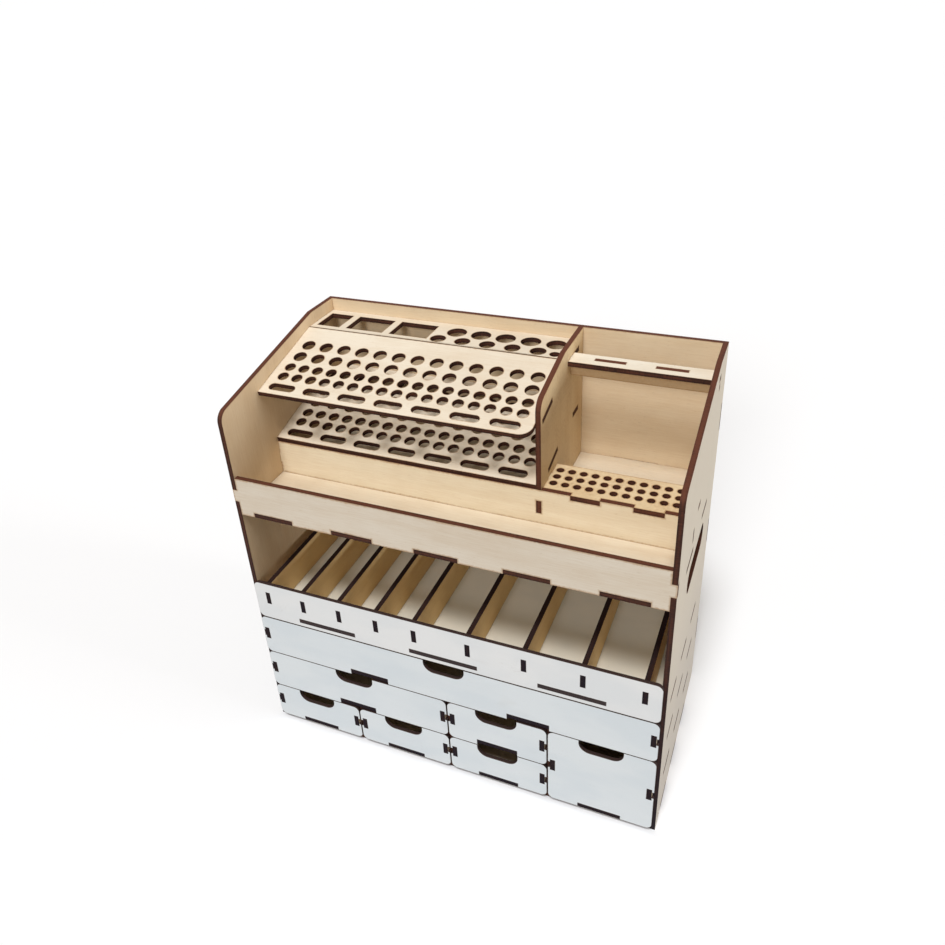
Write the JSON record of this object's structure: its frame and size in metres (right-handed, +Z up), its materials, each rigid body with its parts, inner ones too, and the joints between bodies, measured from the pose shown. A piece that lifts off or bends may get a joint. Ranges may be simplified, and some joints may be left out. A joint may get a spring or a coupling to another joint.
{
  "type": "table-top tool organiser",
  "caption": "Table-top workstation of slotted plywood boards with drawers, a divided bottle tray, a tool tray, tilted perforated tool plates, a bit shelf and a pliers bar.",
  "frame": {"origin": "middle of the underside, on the surface that the workstation stands on", "axes": "+Z up, +X to the right seen from the front, -Y to the front: the drawers open along -Y"},
  "size_m": [0.35, 0.1774, 0.35],
  "materials": {
    "plywood": "raw birch plywood with burnt cut edges",
    "white_board": "white laminated board, satin"
  },
  "bodies": {
    "cabinet": {"back_panel": "plywood", "base_panel": "plywood", "bit_shelf": "plywood", "bottle_divider_1": "plywood", "bottle_divider_2": "plywood", "bottle_divider_3": "plywood", "bottle_divider_4": "plywood", "bottle_divider_5": "plywood", "bottle_divider_6": "plywood", "bottle_divider_7": "plywood", "bottle_floor": "white_board", "bottle_front": "white_board", "bottle_tray_ends": "plywood", "drawer_case_top": "plywood", "left_drawer_shelf": "plywood", "left_partition": "plywood", "left_side_panel": "plywood", "lower_file_strip": "plywood", "lower_tool_plate": "plywood", "middle_drawer_shelf": "plywood", "middle_partition": "plywood", "pliers_bar": "plywood", "pliers_bar_rib": "plywood", "rack_divider": "plywood", "rack_riser": "plywood", "right_partition": "plywood", "right_side_panel": "plywood", "tray_floor": "plywood", "tray_front": "plywood", "upper_drawer_shelf": "plywood", "upper_file_strip": "plywood", "upper_tool_plate": "plywood"},
    "top_drawer": {"top_drawer_back": "plywood", "top_drawer_floor": "plywood", "top_drawer_front": "white_board", "top_drawer_sides": "plywood"},
    "wide_drawer": {"wide_drawer_back": "plywood", "wide_drawer_floor": "plywood", "wide_drawer_front": "white_board", "wide_drawer_sides": "plywood"},
    "corner_drawer": {"corner_drawer_back": "plywood", "corner_drawer_floor": "plywood", "corner_drawer_front": "white_board", "corner_drawer_sides": "plywood"},
    "second_drawer": {"second_drawer_back": "plywood", "second_drawer_floor": "plywood", "second_drawer_front": "white_board", "second_drawer_sides": "plywood"},
    "middle_upper_drawer": {"middle_upper_drawer_back": "plywood", "middle_upper_drawer_floor": "plywood", "middle_upper_drawer_front": "white_board", "middle_upper_drawer_sides": "plywood"},
    "middle_lower_drawer": {"middle_lower_drawer_back": "plywood", "middle_lower_drawer_floor": "plywood", "middle_lower_drawer_front": "white_board", "middle_lower_drawer_sides": "plywood"},
    "tall_drawer": {"tall_drawer_back": "plywood", "tall_drawer_floor": "plywood", "tall_drawer_front": "white_board", "tall_drawer_sides": "plywood"}
  },
  "joints": [
    {"name": "top_drawer_slide", "type": "slide", "parent": "cabinet", "child": "top_drawer", "axis": [0, -1, 0], "range_m": [0, 0.12]},
    {"name": "wide_drawer_slide", "type": "slide", "parent": "cabinet", "child": "wide_drawer", "axis": [0, -1, 0], "range_m": [0, 0.12]},
    {"name": "corner_drawer_slide", "type": "slide", "parent": "cabinet", "child": "corner_drawer", "axis": [0, -1, 0], "range_m": [0, 0.12]},
    {"name": "second_drawer_slide", "type": "slide", "parent": "cabinet", "child": "second_drawer", "axis": [0, -1, 0], "range_m": [0, 0.12]},
    {"name": "middle_upper_drawer_slide", "type": "slide", "parent": "cabinet", "child": "middle_upper_drawer", "axis": [0, -1, 0], "range_m": [0, 0.12]},
    {"name": "middle_lower_drawer_slide", "type": "slide", "parent": "cabinet", "child": "middle_lower_drawer", "axis": [0, -1, 0], "range_m": [0, 0.12]},
    {"name": "tall_drawer_slide", "type": "slide", "parent": "cabinet", "child": "tall_drawer", "axis": [0, -1, 0], "range_m": [0, 0.12]}
  ]
}
